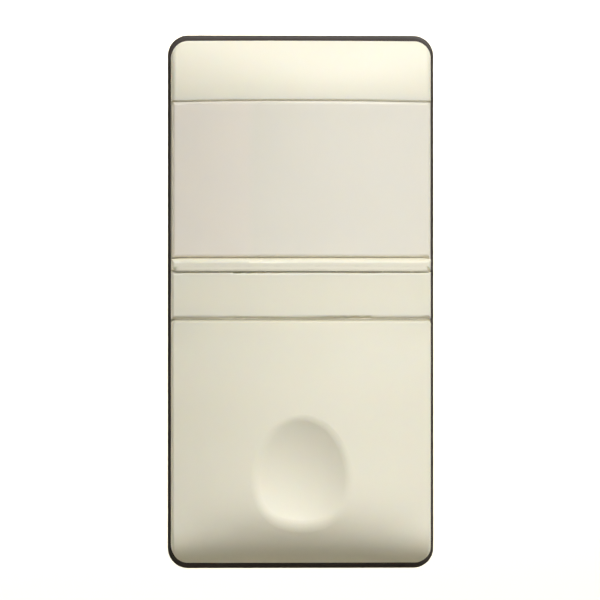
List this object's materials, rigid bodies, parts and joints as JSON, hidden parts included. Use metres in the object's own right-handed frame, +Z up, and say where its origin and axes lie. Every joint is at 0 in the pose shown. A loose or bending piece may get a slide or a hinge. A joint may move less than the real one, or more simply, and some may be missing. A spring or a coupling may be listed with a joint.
{
  "type": "motion sensor light switch",
  "caption": "Flush one-module motion sensor light switch with a milky lens over a crowned push key with a thumb dimple.",
  "frame": {"origin": "centre of the module in the shoulder plane, where the back of the rim meets the mounting frame", "axes": "+Z up, -Y out of the front face towards the room, +Y into the wall, +X to the right seen from the front"},
  "size_m": [0.025, 0.0424, 0.05],
  "materials": {
    "ivory_plastic": "moulded, light gloss",
    "lens_plastic": "milky, satin, lets infrared through",
    "dark_plastic": "moulded, fine spark texture",
    "chassis_plastic": "moulded, matt black",
    "circuit_board": "glass laminate with green solder resist",
    "tinned_steel": "plated steel sheet",
    "filter_glass": "dark filter window",
    "lamp_resin": "clear tinted resin",
    "cell_resin": "clear resin",
    "trimmer_plastic": "moulded",
    "rotor_plastic": "moulded, white",
    "black_epoxy": "moulded epoxy",
    "relay_case": "moulded",
    "film_case": "potted plastic box",
    "can_sleeve": "shrink sleeve over an aluminium can",
    "varistor_resin": "dipped epoxy",
    "resistor_lacquer": "lacquered ceramic rod",
    "terminal_brass": "stamped",
    "plated_steel": "zinc plated",
    "spring_bronze": "rolled strip"
  },
  "bodies": {
    "housing": {"front_bezel": "ivory_plastic", "fresnel_lens": "lens_plastic", "rear_housing": "dark_plastic", "rear_cover": "dark_plastic", "terminal_block_top": "chassis_plastic", "terminal_block_bottom": "chassis_plastic", "sensor_carrier": "chassis_plastic", "carrier_screws": "plated_steel", "sensor_board": "circuit_board", "power_board": "circuit_board", "pir_can": "tinned_steel", "pir_window": "filter_glass", "photocell": "cell_resin", "status_led": "lamp_resin", "time_trimmer_body": "trimmer_plastic", "lux_trimmer_body": "trimmer_plastic", "push_switch_body": "black_epoxy", "controller_chip": "black_epoxy", "board_link_header": "chassis_plastic", "board_link_socket": "chassis_plastic", "board_link_pins": "terminal_brass", "relay": "relay_case", "x2_capacitor": "film_case", "smoothing_capacitor": "can_sleeve", "varistor": "varistor_resin", "fuse": "black_epoxy", "dropper_resistor": "resistor_lacquer", "terminal_bars": "terminal_brass", "key_springs": "spring_bronze"},
    "key": {"override_key": "ivory_plastic"},
    "switch_plunger": {"push_switch_plunger": "chassis_plastic"},
    "cover": {"adjuster_cover": "ivory_plastic"},
    "time_rotor": {"time_trimmer_rotor": "rotor_plastic"},
    "lux_rotor": {"lux_trimmer_rotor": "rotor_plastic"},
    "cage_1": {"terminal_cage_1": "plated_steel"},
    "screw_1": {"terminal_screw_1": "plated_steel"},
    "cage_2": {"terminal_cage_2": "plated_steel"},
    "screw_2": {"terminal_screw_2": "plated_steel"},
    "cage_3": {"terminal_cage_3": "plated_steel"},
    "screw_3": {"terminal_screw_3": "plated_steel"},
    "cage_4": {"terminal_cage_4": "plated_steel"},
    "screw_4": {"terminal_screw_4": "plated_steel"}
  },
  "joints": [
    {"name": "key_press", "type": "hinge", "parent": "housing", "child": "key", "pos_m": [0, -0.0036, -0.0034], "axis": [1, 0, 0], "range_deg": [0, 2], "stiffness_Nm_per_rad": 0.2, "deforming": ["key_springs"]},
    {"name": "switch_plunger_slide", "type": "slide", "parent": "housing", "child": "switch_plunger", "axis": [0, 1, 0], "range_m": [0, 0.00038]},
    {"name": "adjuster_cover_pull", "type": "slide", "parent": "housing", "child": "cover", "axis": [0, -1, 0], "range_m": [0, 0.008]},
    {"name": "time_trimmer_turn", "type": "hinge", "parent": "housing", "child": "time_rotor", "pos_m": [-0.0055, 0, 0.00063], "axis": [0, 1, 0], "range_deg": [-135, 135]},
    {"name": "lux_trimmer_turn", "type": "hinge", "parent": "housing", "child": "lux_rotor", "pos_m": [0.0055, 0, 0.00063], "axis": [0, 1, 0], "range_deg": [-135, 135]},
    {"name": "cage_1_rise", "type": "slide", "parent": "housing", "child": "cage_1", "axis": [0, 0, 1], "range_m": [0, 0.0028]},
    {"name": "screw_1_turn", "type": "hinge", "parent": "housing", "child": "screw_1", "pos_m": [-0.00515, 0.0294, 0.017], "axis": [0, 0, -1], "range_deg": [0, 2020]},
    {"name": "cage_2_rise", "type": "slide", "parent": "housing", "child": "cage_2", "axis": [0, 0, 1], "range_m": [0, 0.0028]},
    {"name": "screw_2_turn", "type": "hinge", "parent": "housing", "child": "screw_2", "pos_m": [0.00515, 0.0294, 0.017], "axis": [0, 0, -1], "range_deg": [0, 2020]},
    {"name": "cage_3_rise", "type": "slide", "parent": "housing", "child": "cage_3", "axis": [0, 0, -1], "range_m": [0, 0.0028]},
    {"name": "screw_3_turn", "type": "hinge", "parent": "housing", "child": "screw_3", "pos_m": [-0.00515, 0.0294, -0.017], "axis": [0, 0, 1], "range_deg": [0, 2020]},
    {"name": "cage_4_rise", "type": "slide", "parent": "housing", "child": "cage_4", "axis": [0, 0, -1], "range_m": [0, 0.0028]},
    {"name": "screw_4_turn", "type": "hinge", "parent": "housing", "child": "screw_4", "pos_m": [0.00515, 0.0294, -0.017], "axis": [0, 0, 1], "range_deg": [0, 2020]}
  ],
  "couplings": [
    {"joint": "switch_plunger_slide", "follows": "key_press", "m_per_rad": 0.0106},
    {"joint": "screw_1_turn", "follows": "cage_1_rise", "rad_per_m": 12566},
    {"joint": "screw_2_turn", "follows": "cage_2_rise", "rad_per_m": 12566},
    {"joint": "screw_3_turn", "follows": "cage_3_rise", "rad_per_m": 12566},
    {"joint": "screw_4_turn", "follows": "cage_4_rise", "rad_per_m": 12566}
  ]
}
